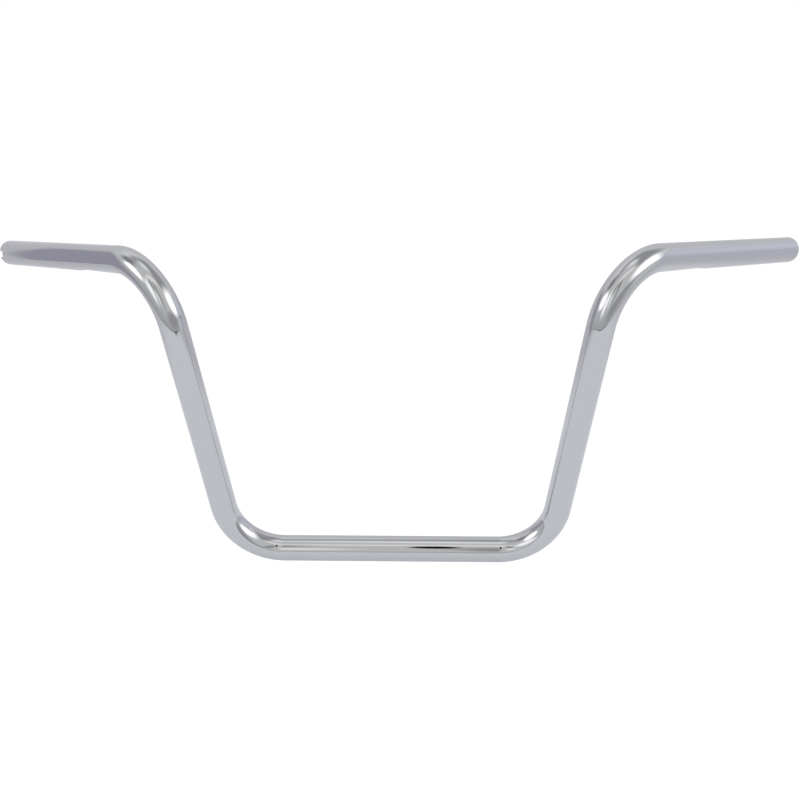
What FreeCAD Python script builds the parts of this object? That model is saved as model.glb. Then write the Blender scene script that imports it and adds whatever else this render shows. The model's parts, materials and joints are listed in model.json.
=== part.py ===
import FreeCAD, Part
import math
import os
from FreeCAD import Vector

# A bare one-inch motorcycle handlebar of the tall "ape hanger" kind, bent from one length of steel tube.
#
# Frame: the origin is the middle of the clamp section, on the tube's axis.
# +X points to the rider's left, +Y back towards the rider, and +Z up along the plane of the legs.
# The tube is divided where its straight runs meet its bends, so each run and each bend is a node.

# Tube, in millimetres
TUBE_RADIUS = 12.7  # one-inch tube
WALL = 3.05
BORE_RADIUS = TUBE_RADIUS - WALL

# Bend chart, in millimetres and degrees
CLAMP_STRAIGHT = 211.0  # straight run that the risers clamp
LEG_STRAIGHT = 189.0
GRIP_STRAIGHT = 221.0  # straight run that holds the grip and the controls
BEND_RADIUS = 57.15  # centreline radius that one bending die gives every bend
LEG_FLARE = 8.0  # legs lean outwards
GRIP_SWEEP = 41.0  # grips turn back towards the rider
GRIP_DROOP = 10.0  # grips slope down towards their ends

# Ends
RIM_ROUND = 0.6  # outer edge of the cut end, eased before plating
BORE_CHAMFER = 0.4

# Notch that stops a throttle sensor turning, in the rider's right end only
NOTCH_WIDTH = 6.4
NOTCH_DEPTH = 6.5
NOTCH_CORNER = 1.0
NOTCH_CLOCK = 83.0  # degrees from the top of the grip, towards the front

# Wiring relief under each grip run, where the switch wires pass under the controls
RELIEF_START = 148.0  # from the end of the bar to the relief's outboard end
RELIEF_LENGTH = 68.0
RELIEF_DEPTH = 2.2  # deepest near the outboard end, and runs out inboard
RELIEF_RADIUS = 20.0
RELIEF_CLOCK = 155.0  # degrees from the top of the grip, towards the front

UP = Vector(0, 0, 1)
LEFT = 1
RIGHT = -1


def leg_direction(side):
    """Unit vector up a leg."""
    flare = math.radians(LEG_FLARE)
    return Vector(side * math.sin(flare), 0, math.cos(flare))


def grip_direction(side):
    """Unit vector out along a grip, towards the end of the bar."""
    sweep = math.radians(GRIP_SWEEP)
    droop = math.radians(GRIP_DROOP)
    level = math.cos(droop)
    return Vector(side * level * math.cos(sweep), level * math.sin(sweep), -math.sin(droop))


def grip_clock(side, degrees):
    """Unit vector square to the grip, turned from its top towards the front of the motorcycle."""
    along = grip_direction(side)
    top = UP - along * UP.dot(along)
    top.normalize()
    front = along.cross(top) * side
    turn = math.radians(degrees)
    return top * math.cos(turn) + front * math.sin(turn)


def straight_run(start, along, length):
    """A straight length of tube."""
    outside = Part.makeCylinder(TUBE_RADIUS, length, start, along)
    inside = Part.makeCylinder(BORE_RADIUS, length, start, along)
    return outside.cut(inside)


def bent_run(start, along, onward):
    """A bend of the die's radius from one direction to the next, and the point where it ends."""
    turn = along.getAngle(onward)
    inward = onward - along * onward.dot(along)
    inward.normalize()
    centre = start + inward * BEND_RADIUS
    axis = along.cross(onward)
    outer = Part.Wire(Part.makeCircle(TUBE_RADIUS, start, along))
    inner = Part.Wire(Part.makeCircle(BORE_RADIUS, start, along))
    ring = Part.Face(outer).cut(Part.Face(inner)).Faces[0]
    tube = ring.revolve(centre, axis, math.degrees(turn))
    finish = centre + along * BEND_RADIUS * math.sin(turn) - inward * BEND_RADIUS * math.cos(turn)
    return tube, finish


def relief_tool(side, end):
    """The form that presses the wiring relief: a round bar that tapers out of the tube as it runs inboard."""
    outward = grip_direction(side)
    down = grip_clock(side, RELIEF_CLOCK)
    run_in = math.sqrt(2 * RELIEF_RADIUS * RELIEF_DEPTH)
    taper = math.atan2(RELIEF_DEPTH, RELIEF_LENGTH - run_in)
    deepest = end - outward * (RELIEF_START + run_in)
    nose = deepest + down * (TUBE_RADIUS - RELIEF_DEPTH + RELIEF_RADIUS)
    inboard = outward * -math.cos(taper) + down * math.sin(taper)
    bar = Part.makeCylinder(RELIEF_RADIUS, RELIEF_LENGTH, nose, inboard)
    ball = Part.makeSphere(RELIEF_RADIUS, nose)
    return bar.fuse(ball)


def notch_tool(side, end):
    """The cutter for the throttle sensor's notch, with rounded bottom corners."""
    outward = grip_direction(side)
    facing = grip_clock(side, NOTCH_CLOCK)
    across = outward.cross(facing)
    placement = FreeCAD.Placement()
    placement.Matrix = FreeCAD.Matrix(
        across.x, outward.x, facing.x, end.x,
        across.y, outward.y, facing.y, end.y,
        across.z, outward.z, facing.z, end.z,
        0, 0, 0, 1,
    )
    box = Part.makeBox(
        NOTCH_WIDTH, 2 * NOTCH_DEPTH, TUBE_RADIUS * 2, Vector(-NOTCH_WIDTH / 2, -NOTCH_DEPTH, 0)
    )
    bottom = [
        edge for edge in box.Edges
        if all(abs(v.Y + NOTCH_DEPTH) < 1e-6 for v in edge.Vertexes)
        and abs(edge.Vertexes[0].X - edge.Vertexes[1].X) < 1e-6
    ]
    cutter = box.makeFillet(NOTCH_CORNER, bottom)
    cutter.Placement = placement
    return cutter


def ease_rim(tube, end, outward):
    """Rounds the outer edge of the bar's end and chamfers the mouth of its bore."""
    rims = [
        edge for edge in tube.Edges
        if isinstance(edge.Curve, Part.Circle)
        and edge.Curve.Center.distanceToPoint(end) < 1e-3
        and abs(edge.Curve.Axis.dot(outward)) > 0.999
    ]
    outer = [edge for edge in rims if edge.Curve.Radius > TUBE_RADIUS - 1e-3]
    inner = [edge for edge in rims if edge.Curve.Radius < BORE_RADIUS + 1e-3]
    return tube.makeFillet(RIM_ROUND, outer).makeChamfer(BORE_CHAMFER, inner)


def grip_end(side, start):
    """A grip run: straight tube with its wiring relief, and the throttle notch on the rider's right."""
    outward = grip_direction(side)
    end = start + outward * GRIP_STRAIGHT
    tube = straight_run(start, outward, GRIP_STRAIGHT)
    tube = ease_rim(tube, end, outward)
    tube = tube.cut(relief_tool(side, end))
    if side == RIGHT:
        tube = tube.cut(notch_tool(side, end))
    return tube


def build_side(side, name):
    """The runs and bends of one side, from the clamp section to the end of the bar."""
    along = Vector(side, 0, 0)
    point = Vector(side * CLAMP_STRAIGHT / 2, 0, 0)
    leg = leg_direction(side)
    grip = grip_direction(side)
    lower_bend, point = bent_run(point, along, leg)
    leg_tube = straight_run(point, leg, LEG_STRAIGHT)
    point = point + leg * LEG_STRAIGHT
    upper_bend, point = bent_run(point, leg, grip)
    return {
        f"lower_bend_{name}": lower_bend,
        f"leg_{name}": leg_tube,
        f"upper_bend_{name}": upper_bend,
        f"grip_end_{name}": grip_end(side, point),
    }


nodes = {"clamp_section": straight_run(Vector(-CLAMP_STRAIGHT / 2, 0, 0), Vector(1, 0, 0), CLAMP_STRAIGHT)}
nodes.update(build_side(LEFT, "left"))
nodes.update(build_side(RIGHT, "right"))

os.makedirs("parts", exist_ok=True)
for node, shape in nodes.items():
    tube = shape.Solids[0]
    print(f"{node}: {len(shape.Solids)} solid, valid {tube.isValid()}, {tube.Volume:.0f} mm3")
    tube.exportStep(f"parts/{node}.step")
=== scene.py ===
import json
import math

import bpy
import numpy as np
from mathutils import Matrix, Vector


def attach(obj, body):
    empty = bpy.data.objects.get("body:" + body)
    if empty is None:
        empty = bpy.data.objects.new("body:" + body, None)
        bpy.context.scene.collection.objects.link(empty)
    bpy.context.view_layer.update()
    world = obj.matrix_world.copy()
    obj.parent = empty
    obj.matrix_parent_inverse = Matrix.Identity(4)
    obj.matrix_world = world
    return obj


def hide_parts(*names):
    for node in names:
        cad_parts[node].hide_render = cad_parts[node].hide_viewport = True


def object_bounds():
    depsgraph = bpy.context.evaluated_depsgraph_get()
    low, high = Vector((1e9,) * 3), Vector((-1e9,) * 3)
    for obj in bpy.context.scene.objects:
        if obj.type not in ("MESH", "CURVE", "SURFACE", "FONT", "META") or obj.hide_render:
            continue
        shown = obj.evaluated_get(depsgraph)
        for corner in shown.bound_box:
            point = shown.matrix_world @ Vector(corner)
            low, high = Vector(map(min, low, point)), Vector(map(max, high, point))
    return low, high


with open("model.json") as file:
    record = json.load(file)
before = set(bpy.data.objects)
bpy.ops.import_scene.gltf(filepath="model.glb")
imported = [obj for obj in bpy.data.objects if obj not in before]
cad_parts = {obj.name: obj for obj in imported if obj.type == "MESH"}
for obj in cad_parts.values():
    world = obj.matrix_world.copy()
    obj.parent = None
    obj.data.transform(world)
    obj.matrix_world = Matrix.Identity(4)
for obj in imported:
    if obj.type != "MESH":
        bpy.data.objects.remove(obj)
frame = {"record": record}
cad_low, cad_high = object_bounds()


def mount(name):
    """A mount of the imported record."""
    return next(m for m in frame["record"]["mounts"] if m["name"] == name)


# Tube and runs, in metres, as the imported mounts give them
TUBE_RADIUS = mount("riser_clamp_seat")["dims"]["r_mm"] / 1000
BORE_RADIUS = mount("left_end_bore")["dims"]["r_mm"] / 1000
CLAMP_STRAIGHT = mount("riser_clamp_seat")["dims"]["length_mm"] / 1000
GRIP_ALONG = np.array(mount("left_grip_seat")["axis"])
RIM_ROUND = 0.0006
GRIP_STRAIGHT = mount("left_grip_seat")["dims"]["length_mm"] / 1000 + RIM_ROUND

# Bends, in metres and degrees
LEG_STRAIGHT = 0.189
BEND_RADIUS = 0.05715
LEG_FLARE = 8.0

# Ends and the throttle notch
BORE_CHAMFER = 0.0004
NOTCH_WIDTH = 0.0064
NOTCH_DEPTH = 0.0065
NOTCH_CORNER = 0.001
NOTCH_CLOCK = 83.0  # degrees from the top of the grip, towards the front

# Wiring relief, pressed by a round bar with a ball nose
RELIEF_START = 0.148  # from the end of the bar
RELIEF_LENGTH = 0.068
RELIEF_DEPTH = 0.0022
RELIEF_RADIUS = 0.020
RELIEF_CLOCK = 155.0
RELIEF_EDGE = 0.0008  # how far the pressed edge is rounded off

# Mesh fineness
AROUND = 128  # points round the tube
BEND_STEP = math.radians(1.25)
PLAIN_STEP = 0.012
RELIEF_STEP = 0.001
RELIEF_MARGIN = 0.002  # how far the close rings go on past both ends of the relief
RINGS_INBOARD = 4  # from the upper bend to the relief
RINGS_OUTBOARD = 16  # from the relief to the notch
NOTCH_MARGIN = 0.002  # from the last of those rings to the notch
NOTCH_SIDE = 6  # columns from the middle of the notch to its side
ROUND_STEPS = 5  # across the eased outer edge of the end
BORE_RINGS = (0.012, 0.03, 0.1, GRIP_STRAIGHT)  # from the end of the bar

# Surfaces, with lengths in metres
CHROME = (0.55, 0.556, 0.56, 1)
GLOSSIEST = 0.02  # roughness of the plate where it is polished best
DULLEST = 0.06
GLOSSIEST_NOISE = 0.35  # the values of the noise that give those two
DULLEST_NOISE = 0.7
WAVE_HEIGHT = 0.00006
HAIRLINE_HEIGHT = 0.000003
BORE_PLATE = (0.55, 0.55, 0.55, 1)
BORE_STEEL = (0.42, 0.39, 0.36, 1)
BORE_METALLIC = 0.8
BORE_PLATE_ROUGHNESS = 0.25
BORE_STEEL_ROUGHNESS = 0.6
PLATE_DEPTH = 0.012  # how far the plate reaches into the bore
WHITE = (1, 1, 1, 1)

# Noise on the surfaces: features per metre round the tube and along it, and how many finer layers
GLOSS_PATCHES = (60, 15, 4.0)
WAVES = (40, 12, 0.0)
HAIRLINES = (1500, 25, 2.0)
BORE_PATCHES = (90, 60, 3.0)

LEFT = 1  # sides of the rider
RIGHT = -1
PLATE = 0  # material numbers
BORE = 1
UP = np.array([0.0, 0.0, 1.0])
ANGLES = np.arange(AROUND) * 2 * math.pi / AROUND
COLUMN_WIDTH = 2 * math.pi * TUBE_RADIUS / AROUND


def unit(vector):
    """The vector at length one."""
    return vector / np.linalg.norm(vector)


def leg_direction(side):
    """Unit vector up a leg."""
    flare = math.radians(LEG_FLARE)
    return np.array([side * math.sin(flare), 0.0, math.cos(flare)])


def grip_direction(side):
    """Unit vector out along a grip, towards the end of the bar."""
    return GRIP_ALONG * np.array([side, 1.0, 1.0])


def grip_clock(side, degrees):
    """Unit vector square to the grip, turned from its top towards the front of the motorcycle."""
    along = grip_direction(side)
    top = unit(UP - along * UP.dot(along))
    front = np.cross(along, top) * side
    turn = math.radians(degrees)
    return top * math.cos(turn) + front * math.sin(turn)


def turned(vector, axis, angle):
    """The vector turned about a unit axis."""
    return (
        vector * math.cos(angle)
        + np.cross(axis, vector) * math.sin(angle)
        + axis * axis.dot(vector) * (1 - math.cos(angle))
    )


class Station:
    """A place on the tube's axis: its point, the way along, and where a ring's angles start from."""

    def __init__(self, point, along, zero):
        self.point = point
        self.along = along
        self.zero = zero
        self.quarter = np.cross(along, zero)

    def out(self, angles):
        """Unit vectors straight out from the axis at these angles round the ring."""
        return np.outer(np.cos(angles), self.zero) + np.outer(np.sin(angles), self.quarter)

    def moved(self, distance):
        """The station this far along the same straight run."""
        return Station(self.point + self.along * distance, self.along, self.zero)


def straight_stations(start, length, step):
    """Evenly spaced stations along a straight run."""
    count = max(1, round(length / step))
    return [start.moved(length * i / count) for i in range(count + 1)]


def bend_stations(start, onward):
    """Stations round a bend of the die's radius, from the start's direction to the onward one."""
    turn = math.acos(start.along.dot(onward))
    axis = unit(np.cross(start.along, onward))
    inward = np.cross(axis, start.along)
    centre = start.point + inward * BEND_RADIUS
    count = math.ceil(turn / BEND_STEP)
    stations = []
    for i in range(count + 1):
        angle = turn * i / count
        stations.append(Station(
            centre - turned(inward, axis, angle) * BEND_RADIUS,
            turned(start.along, axis, angle),
            turned(start.zero, axis, angle),
        ))
    return stations


class Shell:
    """A closed mesh made of bands of quads, which keeps the true surface direction at every corner.

    Its UV map unrolls the tube: metres round it across, and metres along it upwards.
    """

    def __init__(self):
        self.points = []
        self.along = []
        self.faces = []
        self.normals = []
        self.unrolled = []
        self.materials = []

    def add_ring(self, points):
        """Adds a ring of points, and returns its number."""
        step = np.linalg.norm(points - self.points[-1], axis=1).mean() if self.points else 0
        self.along.append(step + (self.along[-1] if self.along else 0))
        self.points.append(points)
        return len(self.points) - 1

    def corner(self, ring, column):
        """The number of the point where a ring crosses a column."""
        return ring * AROUND + column % AROUND

    def add_band(self, ring, next_ring, normals, next_normals, columns=range(AROUND), material=PLATE):
        """Joins two rings with a quad in each column, given the surface directions at their points."""
        self.materials += [material] * len(columns)
        for column in columns:
            following = column + 1
            self.faces.append([
                self.corner(ring, column), self.corner(ring, following),
                self.corner(next_ring, following), self.corner(next_ring, column),
            ])
            here, there = normals[column], next_normals[column]
            here_next, there_next = normals[following % AROUND], next_normals[following % AROUND]
            self.normals += [here, here_next, there_next, there]
            near, far = column * COLUMN_WIDTH, following * COLUMN_WIDTH
            low, high = self.along[ring], self.along[next_ring]
            self.unrolled += [(near, low), (far, low), (far, high), (near, high)]

    def add_flat(self, corners, normal):
        """Adds one flat face, with its corners given as pairs of ring and column."""
        self.materials.append(PLATE)
        self.faces.append([self.corner(ring, column) for ring, column in corners])
        self.normals += [normal] * len(corners)
        self.unrolled += [(column * COLUMN_WIDTH, self.along[ring]) for ring, column in corners]

    def mesh_object(self, name):
        """The finished Blender object."""
        mesh = bpy.data.meshes.new(name)
        mesh.from_pydata(np.concatenate(self.points).tolist(), [], self.faces)
        mesh.polygons.foreach_set("use_smooth", [True] * len(mesh.polygons))
        mesh.polygons.foreach_set("material_index", self.materials)
        unrolled = mesh.uv_layers.new(name="unrolled")
        unrolled.uv.foreach_set("vector", np.array(self.unrolled).ravel())
        mesh.normals_split_custom_set([tuple(normal) for normal in self.normals])
        piece = bpy.data.objects.new(name, mesh)
        bpy.context.scene.collection.objects.link(piece)
        return piece


def plain_wall(station):
    """Points and surface directions of the plain outer wall at a station."""
    out = station.out(ANGLES)
    return station.point + out * TUBE_RADIUS, out


def bore_wall(station):
    """Points and surface directions of the bore at a station."""
    out = station.out(ANGLES)
    return station.point + out * BORE_RADIUS, -out


def add_walls(shell, walls, material=PLATE):
    """Adds a run of rings, each given as points and surface directions, joined one to the next."""
    numbers = [shell.add_ring(points) for points, normals in walls]
    for i in range(len(walls) - 1):
        shell.add_band(numbers[i], numbers[i + 1], walls[i][1], walls[i + 1][1], material=material)
    return numbers


def tube_piece(name, stations, outer_wall=plain_wall):
    """A length of tube along the stations, open through its bore and square at both ends."""
    shell = Shell()
    outer = add_walls(shell, [outer_wall(station) for station in stations])
    bore = add_walls(shell, [bore_wall(station) for station in reversed(stations)], BORE)
    last = np.tile(stations[-1].along, (AROUND, 1))
    first = np.tile(-stations[0].along, (AROUND, 1))
    shell.add_band(outer[-1], bore[0], last, last)
    shell.add_band(bore[-1], outer[0], first, first)
    return shell.mesh_object(name)


def smooth_minimum(a, b, reach):
    """The smaller of two values, with the corner where they cross rounded off."""
    share = np.clip(0.5 + 0.5 * (b - a) / reach, 0, 1)
    return b + (a - b) * share - reach * share * (1 - share)


def relief_radius(side, station, angles, from_end):
    """The outer wall's distance from the axis on a grip run, with the wiring relief pressed in."""
    down = grip_clock(side, RELIEF_CLOCK)
    run_in = math.sqrt(2 * RELIEF_RADIUS * RELIEF_DEPTH)
    deepest = RELIEF_START + run_in
    rise = RELIEF_DEPTH / (RELIEF_LENGTH - run_in)
    past = from_end - deepest
    centre = TUBE_RADIUS - RELIEF_DEPTH + RELIEF_RADIUS
    if past >= 0:
        centre = centre + past * rise
        reach = RELIEF_RADIUS
    else:
        reach = math.sqrt(max(RELIEF_RADIUS ** 2 - past ** 2, 0))
    facing = station.out(angles) @ down
    inside = reach ** 2 - centre ** 2 * (1 - facing ** 2)
    pressed = centre * facing - np.sqrt(np.maximum(inside, 0))
    pressed = np.where((inside > 0) & (facing > 0), pressed, TUBE_RADIUS * 2)
    return smooth_minimum(pressed, TUBE_RADIUS, RELIEF_EDGE)


def grip_wall(side, station, from_end, angles):
    """Points and surface directions of a grip's outer wall, found from the slope of its radius."""
    tiny = 1e-5

    def surface(along, turn):
        radius = relief_radius(side, station, angles + turn, from_end - along)
        return station.point + station.along * along + station.out(angles + turn) * radius[:, None]

    round_slope = surface(0, tiny) - surface(0, -tiny)
    long_slope = surface(tiny, 0) - surface(-tiny, 0)
    normals = np.cross(round_slope, long_slope)
    return surface(0, 0), normals / np.linalg.norm(normals, axis=1)[:, None]


def end_ring(end, radius, back, angles, lean, sign=1):
    """A ring at this radius, set back from the bar's end, with surface directions that lean endwards.

    A lean of zero degrees faces straight out from the axis, and ninety faces the end.
    """
    out = end.out(angles)
    points = end.point + out * radius - np.outer(np.broadcast_to(back, AROUND), end.along)
    tilt = math.radians(lean)
    return points, (out * math.cos(tilt) * sign + end.along * math.sin(tilt))


def notch_half_outline():
    """Half of the notch's outline, from its middle: distances sideways and back from the bar's end."""
    flat = NOTCH_WIDTH / 2 - NOTCH_CORNER
    deep = NOTCH_DEPTH - NOTCH_CORNER
    turns = np.radians(np.linspace(90, 0, NOTCH_SIDE - 1))
    sideways = [0, flat / 2, *(flat + NOTCH_CORNER * np.cos(turns))]
    back = [NOTCH_DEPTH, NOTCH_DEPTH, *(deep + NOTCH_CORNER * np.sin(turns))]
    return np.array(sideways), np.array(back)


def plain_angles(radius):
    """Angles round a ring without a notch, which are the same at every radius."""
    return ANGLES


def notched_angles(radius):
    """Angles round a ring of this radius, where the columns next to zero follow the notch's outline."""
    sideways, _ = notch_half_outline()
    half = np.arcsin(sideways / radius)
    rest = np.linspace(half[-1], 2 * math.pi - half[-1], AROUND - 2 * NOTCH_SIDE + 1)
    return np.concatenate([half, rest[1:-1], 2 * math.pi - half[:0:-1]])


def notch_back():
    """How far back from the bar's end the ring through the notch's edge lies, column by column."""
    _, back = notch_half_outline()
    plain = np.full(AROUND - 2 * NOTCH_SIDE - 1, back[-1])
    return np.concatenate([back, plain, back[:0:-1]])


def notch_normals(end):
    """Surface directions of the notch's floor and rounded corners, column by column."""
    sideways, back = notch_half_outline()
    flat = NOTCH_WIDTH / 2 - NOTCH_CORNER
    lean = np.clip((sideways - flat) / NOTCH_CORNER, 0, 1)
    lean = np.concatenate([lean, np.zeros(AROUND - 2 * NOTCH_SIDE - 1), -lean[:0:-1]])
    return np.outer(-lean, end.quarter) + np.outer(np.sqrt(1 - lean ** 2), end.along)


def rim_rings(end, angles, mouth):
    """Rings round the eased outer edge, from wall to flat face, and one where the chamfer starts."""
    rings = []
    for i in range(ROUND_STEPS + 1):
        lean = 90 * i / ROUND_STEPS
        turn = math.radians(lean)
        radius = TUBE_RADIUS - RIM_ROUND * (1 - math.cos(turn))
        back = RIM_ROUND * (1 - math.sin(turn))
        rings.append(end_ring(end, radius, back, angles(radius), lean))
    rings.append(end_ring(end, mouth, 0, angles(mouth), 90))
    return rings


def add_end(shell, end, notched, angles, outer, outer_normals):
    """Closes a grip: its last stretch of wall, the eased edge, the flat face and the chamfered bore."""
    kept = range(NOTCH_SIDE, AROUND - NOTCH_SIDE) if notched else range(AROUND)
    mouth = BORE_RADIUS + BORE_CHAMFER
    bore_top = end_ring(end, BORE_RADIUS, BORE_CHAMFER, angles(BORE_RADIUS), 0, sign=-1)
    edge_at = notch_back() if notched else NOTCH_DEPTH
    outer_edge = end_ring(end, TUBE_RADIUS, edge_at, angles(TUBE_RADIUS), 0)
    bore_edge = end_ring(end, BORE_RADIUS, edge_at, angles(BORE_RADIUS), 0, sign=-1)

    first = shell.add_ring(outer_edge[0])
    shell.add_band(outer, first, outer_normals, outer_edge[1])
    ring, normals = first, outer_edge[1]
    profile = [first]
    for points, next_normals in rim_rings(end, angles, mouth):
        following = shell.add_ring(points)
        shell.add_band(ring, following, normals, next_normals, kept)
        ring, normals = following, next_normals
        profile.append(ring)
    top = shell.add_ring(bore_top[0])
    slant = (end.along - end.out(angles(mouth))) / math.sqrt(2)
    shell.add_band(ring, top, slant, slant, kept)
    last = shell.add_ring(bore_edge[0])
    shell.add_band(top, last, bore_top[1], bore_edge[1], kept, BORE)
    profile += [top, last]
    if notched:
        floor = notch_normals(end)
        shell.add_band(first, last, floor, floor, range(-NOTCH_SIDE, NOTCH_SIDE))
        shell.add_flat([(ring, NOTCH_SIDE) for ring in profile], -end.quarter)
        shell.add_flat([(ring, -NOTCH_SIDE) for ring in reversed(profile)], end.quarter)
    return last, bore_edge[1]


def grip_piece(name, side, start, notched):
    """A grip run, from the upper bend to the end of the bar."""
    if notched:
        start = Station(start.point, start.along, grip_clock(side, NOTCH_CLOCK))
    angles = notched_angles if notched else plain_angles
    shell = Shell()
    relief_from = GRIP_STRAIGHT - RELIEF_START - RELIEF_LENGTH - RELIEF_MARGIN
    relief_to = GRIP_STRAIGHT - RELIEF_START + RELIEF_MARGIN
    steps = [
        *np.linspace(0, relief_from, RINGS_INBOARD)[:-1],
        *np.linspace(relief_from, relief_to, round((relief_to - relief_from) / RELIEF_STEP))[:-1],
        *np.linspace(relief_to, GRIP_STRAIGHT - NOTCH_DEPTH - NOTCH_MARGIN, RINGS_OUTBOARD),
    ]
    wall_angles = angles(TUBE_RADIUS)
    walls = [grip_wall(side, start.moved(step), GRIP_STRAIGHT - step, wall_angles) for step in steps]
    outer = add_walls(shell, walls)
    end = start.moved(GRIP_STRAIGHT)
    last, last_normals = add_end(shell, end, notched, angles, outer[-1], walls[-1][1])
    bore_angles = angles(BORE_RADIUS)
    inner = [end_ring(end, BORE_RADIUS, back, bore_angles, 0, sign=-1) for back in BORE_RINGS]
    bore = add_walls(shell, inner, BORE)
    shell.add_band(last, bore[0], last_normals, inner[0][1], material=BORE)
    cap = np.tile(-start.along, (AROUND, 1))
    shell.add_band(bore[-1], outer[0], cap, cap)
    return shell.mesh_object(name)


def build_bar():
    """All the lengths of tube, one for each CAD node, by the node's name."""
    middle = Station(np.array([-CLAMP_STRAIGHT / 2, 0.0, 0.0]), np.array([1.0, 0.0, 0.0]), UP)
    clamp = straight_stations(middle, CLAMP_STRAIGHT, PLAIN_STEP)
    pieces = {"clamp_section": tube_piece("clamp_tube", clamp)}
    for side, name in ((LEFT, "left"), (RIGHT, "right")):
        outward = np.array([side, 0.0, 0.0])
        start = Station(outward * CLAMP_STRAIGHT / 2, outward, UP)
        lower = bend_stations(start, leg_direction(side))
        leg = straight_stations(lower[-1], LEG_STRAIGHT, PLAIN_STEP)
        upper = bend_stations(leg[-1], grip_direction(side))
        pieces[f"lower_bend_{name}"] = tube_piece(f"lower_bend_tube_{name}", lower)
        pieces[f"leg_{name}"] = tube_piece(f"leg_tube_{name}", leg)
        pieces[f"upper_bend_{name}"] = tube_piece(f"upper_bend_tube_{name}", upper)
        pieces[f"grip_end_{name}"] = grip_piece(f"grip_tube_{name}", side, upper[-1], notched=side == RIGHT)
    return pieces


FIRST_COLOR = 6  # the colour sockets of a Mix node, whose names its other sockets share
SECOND_COLOR = 7
BLENDED_COLOR = 2


class Nodes:
    """Adds and joins shader nodes in one tree."""

    def __init__(self, tree):
        self.tree = tree

    def add(self, kind, inputs=None, **settings):
        """A new node, with its settings, and with a value or another node's output for each input named."""
        node = self.tree.nodes.new(kind)
        for setting, value in settings.items():
            setattr(node, setting, value)
        for name, value in (inputs or {}).items():
            if isinstance(value, bpy.types.NodeSocket):
                self.tree.links.new(value, node.inputs[name])
            else:
                node.inputs[name].default_value = value
        return node

    def blend(self, share, first, second, **settings):
        """The colour that goes from the first to the second as the share goes from zero to one."""
        colors = {"Factor": share, FIRST_COLOR: first, SECOND_COLOR: second}
        return self.add("ShaderNodeMix", colors, data_type="RGBA", **settings).outputs[BLENDED_COLOR]


def streaks(nodes, across, along, detail):
    """Noise laid out on the unrolled tube, with this many features per metre across it and along it."""
    unrolled = nodes.add("ShaderNodeUVMap", uv_map="unrolled").outputs["UV"]
    place = nodes.add("ShaderNodeMapping", {"Vector": unrolled, "Scale": (across, along, 1)})
    noise = nodes.add("ShaderNodeTexNoise", {"Vector": place.outputs[0], "Scale": 1.0, "Detail": detail})
    return noise.outputs[0]


def chrome_material():
    """Polished chrome plate: a faint waviness from bending and polishing, and hairlines along the tube."""
    material = bpy.data.materials.new("chrome_plate")
    material.use_nodes = True
    nodes = Nodes(material.node_tree)
    shader = material.node_tree.nodes["Principled BSDF"]
    shader.inputs["Base Color"].default_value = CHROME
    shader.inputs["Metallic"].default_value = 1
    gloss = nodes.add("ShaderNodeMapRange", {
        "Value": streaks(nodes, *GLOSS_PATCHES),
        "From Min": GLOSSIEST_NOISE, "From Max": DULLEST_NOISE,
        "To Min": GLOSSIEST, "To Max": DULLEST,
    })
    material.node_tree.links.new(gloss.outputs["Result"], shader.inputs["Roughness"])
    wave = nodes.add("ShaderNodeBump", {
        "Height": streaks(nodes, *WAVES),
        "Strength": 1.0,
        "Distance": WAVE_HEIGHT,
    })
    hair = nodes.add("ShaderNodeBump", {
        "Height": streaks(nodes, *HAIRLINES),
        "Strength": 1.0,
        "Distance": HAIRLINE_HEIGHT,
        "Normal": wave.outputs[0],
    })
    material.node_tree.links.new(hair.outputs[0], shader.inputs["Normal"])
    return material


def bore_material():
    """The bore: plate that thins out behind the mouth, and then bare drawn steel, dull and brownish."""
    material = bpy.data.materials.new("bore_steel")
    material.use_nodes = True
    nodes = Nodes(material.node_tree)
    shader = material.node_tree.nodes["Principled BSDF"]
    shader.inputs["Metallic"].default_value = BORE_METALLIC
    unrolled = nodes.add("ShaderNodeUVMap", uv_map="unrolled").outputs["UV"]
    along = nodes.add("ShaderNodeSeparateXYZ", {"Vector": unrolled}).outputs["Y"]
    patches = streaks(nodes, *BORE_PATCHES)
    stain = nodes.add("ShaderNodeMath", {0: patches, 1: PLATE_DEPTH}, operation="MULTIPLY")
    edge = nodes.add("ShaderNodeMath", {0: along, 1: stain.outputs[0]}, operation="ADD")
    bare = nodes.add("ShaderNodeMapRange", {
        "Value": edge.outputs[0],
        "From Min": GRIP_STRAIGHT + PLATE_DEPTH,
        "From Max": GRIP_STRAIGHT + 2 * PLATE_DEPTH,
    }, interpolation_type="SMOOTHSTEP").outputs["Result"]
    tone = nodes.blend(bare, BORE_PLATE, BORE_STEEL)
    material.node_tree.links.new(tone, shader.inputs["Base Color"])
    rough = nodes.add("ShaderNodeMapRange", {
        "Value": bare,
        "To Min": BORE_PLATE_ROUGHNESS, "To Max": BORE_STEEL_ROUGHNESS,
    })
    material.node_tree.links.new(rough.outputs["Result"], shader.inputs["Roughness"])
    return material


# The camera sees a pale floor, and the chrome sees a white table in its place. Places are in metres
# from the middle of the clamp section. Each color is matt paint, and each glow is light given off, except
# that the table's glow, brightest round one point, is a painted pool of light, and the lip's dark color is
# painted shade on the table's front edge.
FLOOR_REACH = 3.0
FLOOR_COLOR = (0.35, 0.35, 0.35, 1)
FLOOR_GLOW = 0.85
TABLE_LEFT = -0.90
TABLE_RIGHT = 1.08
TABLE_FRONT = -0.79
TABLE_BACK = 1.2
TABLE_LEFT_CORNER = 0.50  # radii of the front corners
TABLE_RIGHT_CORNER = 0.80
TABLE_CORNER_STEPS = 24
TABLE_COLOR = (0.7, 0.7, 0.7, 1)
TABLE_POOL_MIDDLE = (0.03, -0.35, 0)  # the middle of the painted pool of light on the table, its brightest point
TABLE_BRIGHT_TO = 0.6  # from that point
TABLE_DIM_FROM = 1.0
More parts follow.
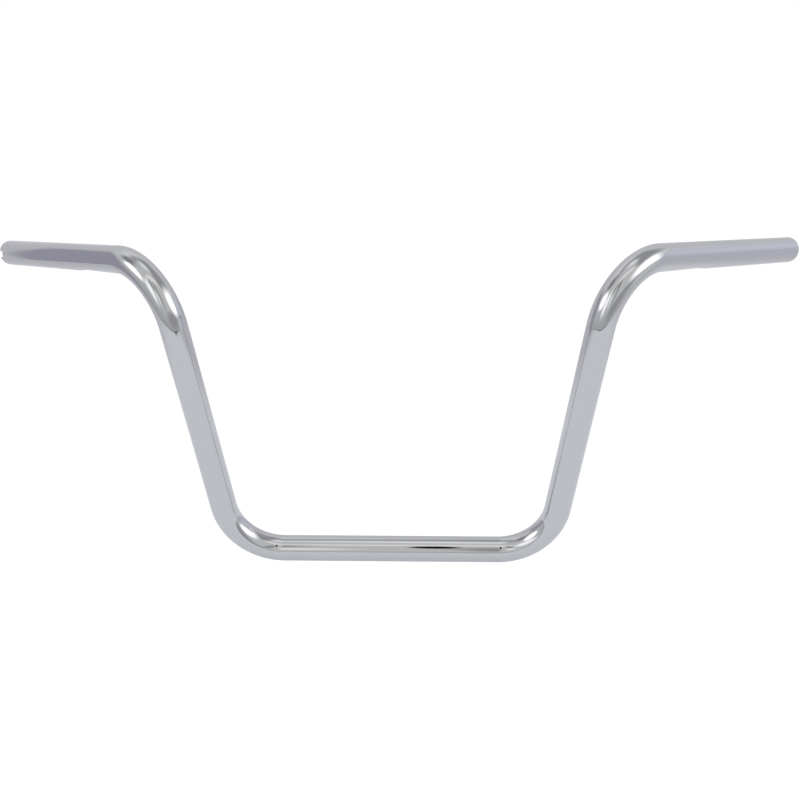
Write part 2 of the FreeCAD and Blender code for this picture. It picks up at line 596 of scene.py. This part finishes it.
# painted pool of light: the table's own glow goes from the near glow to the far glow away from that point
TABLE_NEAR_GLOW = (0.30, 0.315, 0.355, 1)
TABLE_FAR_GLOW = (0.10, 0.10, 0.13, 1)
LIP_HEIGHT = 0.018
LIP_BACK_TO = -0.45  # the lip goes as far back as this on the left
LIP_RIGHT_TO = 0.55  # and as far along the front as this
# painted shade: the lip's dark color and faint glow stand for the shaded front edge of the white table
LIP_SHADE_COLOR = (0.15, 0.15, 0.16, 1)
LIP_GLOW = 0.1


def stage_material(name, color, glow):
    """A plain matt surface that also gives off light of its own, so that it looks evenly lit."""
    material = bpy.data.materials.new(name)
    material.use_nodes = True
    shader = material.node_tree.nodes["Principled BSDF"]
    shader.inputs["Base Color"].default_value = color
    shader.inputs["Roughness"].default_value = 1
    shader.inputs["Specular IOR Level"].default_value = 0
    shader.inputs["Emission Color"].default_value = WHITE
    shader.inputs["Emission Strength"].default_value = glow
    return material


def table_material():
    """The white table top, with a painted pool of light: its glow is brightest where a lamp overhead would
    point.
    """
    material = stage_material("white_table", TABLE_COLOR, 1)
    nodes = Nodes(material.node_tree)
    shader = material.node_tree.nodes["Principled BSDF"]
    place = nodes.add("ShaderNodeTexCoord").outputs["Object"]
    away = nodes.add("ShaderNodeVectorMath", {0: place, 1: TABLE_POOL_MIDDLE}, operation="DISTANCE")
    share = nodes.add("ShaderNodeMapRange", {
        "Value": away.outputs["Value"],
        "From Min": TABLE_BRIGHT_TO,
        "From Max": TABLE_DIM_FROM,
    }, interpolation_type="SMOOTHSTEP").outputs["Result"]
    # painted pool of light, which the table gives off itself
    glow = nodes.blend(share, TABLE_NEAR_GLOW, TABLE_FAR_GLOW)
    material.node_tree.links.new(glow, shader.inputs["Emission Color"])
    return material


def direction(azimuth, elevation):
    """Unit vector at these angles in degrees, the azimuth from the front towards the rider's left."""
    turn, rise = math.radians(azimuth), math.radians(elevation)
    return Vector((math.sin(turn) * math.cos(rise), -math.cos(turn) * math.cos(rise), math.sin(rise)))


def chord(degrees):
    """The straight distance across this angle on a sphere of radius one."""
    return 2 * math.sin(math.radians(degrees) / 2)


# Elevation in degrees, and how bright the empty studio is there
ROOM_SHADES = (
    (-20, 0.55),
    (-6, 0.64),
    (10, 0.72),
    (38, 0.84),
    (52, 1.00),
    (57, 0.95),
    (63, 0.61),
    (70, 0.50),
    (77, 0.90),
    (84, 1.30),
    (90, 1.50),
)

ROOM_TINT = (0.985, 0.99, 1.03)  # the empty studio is faintly blue

# What stands or hangs in the studio, seen from the bar, each a soft-edged oval in front of those before it:
# name, azimuth, elevation, half width, half height and roll in degrees, softness of the edge, and colour
STUDIO = (
    ("front_wall", 0, 45, 55, 25, 0, 0.4, (0.80, 0.80, 0.80)),
    ("front_dark", 33, 1, 31, 12, -5, 0.5, (0.46, 0.46, 0.49)),
    ("overhead_strip", 15, 65, 32, 4, 0, 0.4, (1.15, 1.15, 1.10)),
    ("gap_above_left", -88, 50, 13, 8, 0, 0.6, (0.34, 0.34, 0.37)),
    ("gap_above_rear", 140, 64, 22, 9, 0, 0.6, (0.45, 0.45, 0.48)),
    ("gap_above_right", 95, 60, 30, 10, 0, 0.5, (0.46, 0.46, 0.49)),
    ("front_stand_left", -17, 44, 4, 11, 0, 0.4, (0.42, 0.42, 0.44)),
    ("front_stand_right", 6, 28, 4, 18, 0, 0.4, (0.46, 0.46, 0.48)),
    ("key_light_right", 74, 26, 21, 12, 0, 0.7, (2.6, 2.6, 2.6)),
    ("key_spill_right", 108, 22, 16, 9, 0, 0.6, (1.05, 1.05, 1.08)),
    ("key_light_left", -66, 27, 13, 9, 0, 0.6, (2.8, 2.8, 2.8)),
    ("fill_light_left", -33, 22, 10, 17, 0, 0.5, (1.55, 1.55, 1.58)),
    ("small_gleam", -10, 23, 4, 9, 0, 0.5, (1.20, 1.20, 1.20)),
    ("low_right", 84, -6, 17, 10, 0, 0.6, (0.84, 0.84, 0.88)),
    ("camera", 0, 46, 1.5, 10, 0, 0.2, (0.01, 0.01, 0.01)),
    ("wall_left", -109, -8, 26, 34, 0, 0.15, (0.46, 0.45, 0.54)),
    ("card_left", -134, -10.3, 27, 27, 0, 0.02, (0.72, 0.72, 0.77)),
    ("wall_right", 112, -2, 26, 28, 0, 0.1, (0.69, 0.70, 0.79)),
    ("wall_right_glow", 114, 14, 18, 9, 0, 0.9, (0.86, 0.875, 0.99)),
)


def room_color(nodes, way):
    """The empty studio's colour along a way out from the bar, by its elevation."""
    height = nodes.add("ShaderNodeSeparateXYZ", {"Vector": way}).outputs["Z"]
    rise = nodes.add("ShaderNodeMath", {0: height}, operation="ARCSINE").outputs[0]
    lowest, highest = ROOM_SHADES[0][0], ROOM_SHADES[-1][0]
    share = nodes.add("ShaderNodeMapRange", {
        "Value": rise,
        "From Min": math.radians(lowest),
        "From Max": math.radians(highest),
    }).outputs["Result"]
    ramp = nodes.add("ShaderNodeValToRGB", {"Fac": share})
    stops = ramp.color_ramp.elements
    while len(stops) < len(ROOM_SHADES):
        stops.new(0.5)
    for stop, (elevation, shade) in zip(stops, ROOM_SHADES):
        stop.position = (elevation - lowest) / (highest - lowest)
        stop.color = (shade, shade, shade, 1)
    shades = {0: ramp.outputs["Color"], 1: ROOM_TINT}
    return nodes.add("ShaderNodeVectorMath", shades, operation="MULTIPLY").outputs[0]


def oval_cover(nodes, way, azimuth, elevation, half_width, half_height, roll, softness):
    """How far a soft-edged oval of the studio covers a way out from the bar, from zero to one."""
    centre = direction(azimuth, elevation)
    right = direction(azimuth + 90, 0)
    up = right.cross(centre)
    turn = Matrix((right, up, centre)).transposed() @ Matrix.Rotation(math.radians(roll), 3, "Z")
    wide, high = chord(half_width), chord(half_height)
    place = nodes.add("ShaderNodeMapping", {
        "Vector": way,
        "Location": centre,
        "Rotation": turn.to_euler(),
        "Scale": (wide, high, max(wide, high)),
    }, vector_type="TEXTURE")
    away = nodes.add("ShaderNodeVectorMath", {0: place.outputs[0]}, operation="LENGTH").outputs["Value"]
    return nodes.add("ShaderNodeMapRange", {
        "Value": away,
        "From Min": 1 - softness, "From Max": 1 + softness,
        "To Min": 1.0, "To Max": 0.0,
    }, interpolation_type="SMOOTHSTEP").outputs["Result"]


def make_studio():
    """The studio that the chrome reflects, and the plain white that the camera sees in its place."""
    world = bpy.data.worlds.new("studio")
    bpy.context.scene.world = world
    world.use_nodes = True
    nodes = Nodes(world.node_tree)
    world.node_tree.nodes.clear()
    way = nodes.add("ShaderNodeTexCoord").outputs["Generated"]
    color = room_color(nodes, way)
    for name, *place, tint in STUDIO:
        color = nodes.blend(oval_cover(nodes, way, *place), color, (*tint, 1), label=name)
    room = nodes.add("ShaderNodeBackground", {"Color": color}).outputs[0]
    white = nodes.add("ShaderNodeBackground", {"Color": WHITE}).outputs[0]
    seen = nodes.add("ShaderNodeLightPath").outputs["Is Camera Ray"]
    both = nodes.add("ShaderNodeMixShader", {0: seen, 1: room, 2: white}).outputs[0]
    nodes.add("ShaderNodeOutputWorld", {"Surface": both})


def stage_object(name, points, faces, material):
    """A piece of the stage, at the level of the bar's underside."""
    mesh = bpy.data.meshes.new(name)
    mesh.from_pydata(points, [], faces)
    mesh.materials.append(material)
    piece = bpy.data.objects.new(name, mesh)
    piece.location.z = cad_low.z
    bpy.context.scene.collection.objects.link(piece)
    return piece


def table_outline():
    """The table top's outline, from its left rear corner round its front to its right rear corner."""
    corners = (  # the middle of each rounded corner, its radius, and the angle it starts at
        (TABLE_LEFT + TABLE_LEFT_CORNER, TABLE_LEFT_CORNER, 180),
        (TABLE_RIGHT - TABLE_RIGHT_CORNER, TABLE_RIGHT_CORNER, 270),
    )
    outline = [(TABLE_LEFT, TABLE_BACK)]
    for middle, radius, first in corners:
        for i in range(TABLE_CORNER_STEPS + 1):
            turn = math.radians(first + 90 * i / TABLE_CORNER_STEPS)
            x = middle + radius * math.cos(turn)
            y = TABLE_FRONT + radius + radius * math.sin(turn)
            outline.append((x, y))
    return outline + [(TABLE_RIGHT, TABLE_BACK)]


def make_floor():
    """The pale floor that the camera sees, and the white table top that the chrome sees in its place."""
    corners = [(x * FLOOR_REACH, y * FLOOR_REACH, 0) for x, y in ((-1, -1), (1, -1), (1, 1), (-1, 1))]
    pale = stage_material("pale_floor", FLOOR_COLOR, FLOOR_GLOW)
    floor = stage_object("floor", corners, [range(len(corners))], pale)
    floor.visible_glossy = False
    floor.visible_diffuse = False
    floor.visible_shadow = False

    outline = table_outline()
    top = [(x, y, 0) for x, y in outline]
    table = stage_object("table_top", top, [range(len(top))], table_material())
    table.visible_camera = False

    edge = [(x, y) for x, y in outline if x < LIP_RIGHT_TO and y < LIP_BACK_TO]
    points = [(x, y, z) for x, y in edge for z in (0, LIP_HEIGHT)]
    faces = [(i, i + 2, i + 3, i + 1) for i in range(0, len(points) - 2, 2)]
    # the lip is a dark strip of painted shade along the table's front edge
    lip = stage_object("table_lip", points, faces, stage_material("painted_shade_edge", LIP_SHADE_COLOR, LIP_GLOW))
    lip.visible_camera = False
    lip.visible_diffuse = False
    lip.visible_shadow = False


CAMERA_PLACE = (0.0439, -0.7771, 0.5522)  # metres
CAMERA_TILT = 63.51  # degrees up from looking straight down
CAMERA_ROLL = 0.84
CAMERA_TURN = 1.95
CAMERA_LENS = 42.75  # millimetres
CAMERA_SENSOR = 36


def make_camera():
    """The camera, at the place and with the lens of the reference view."""
    data = bpy.data.cameras.new("camera")
    data.lens = CAMERA_LENS
    data.sensor_width = CAMERA_SENSOR
    camera = bpy.data.objects.new("camera", data)
    camera.location = CAMERA_PLACE
    camera.rotation_euler = [math.radians(angle) for angle in (CAMERA_TILT, CAMERA_ROLL, CAMERA_TURN)]
    bpy.context.scene.collection.objects.link(camera)
    bpy.context.scene.camera = camera


make_camera()
make_studio()
make_floor()
bpy.context.scene.view_settings.view_transform = "Standard"
materials = [chrome_material(), bore_material()]
for node, piece in build_bar().items():
    for material in materials:
        piece.data.materials.append(material)
    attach(piece, "root")
    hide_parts(node)
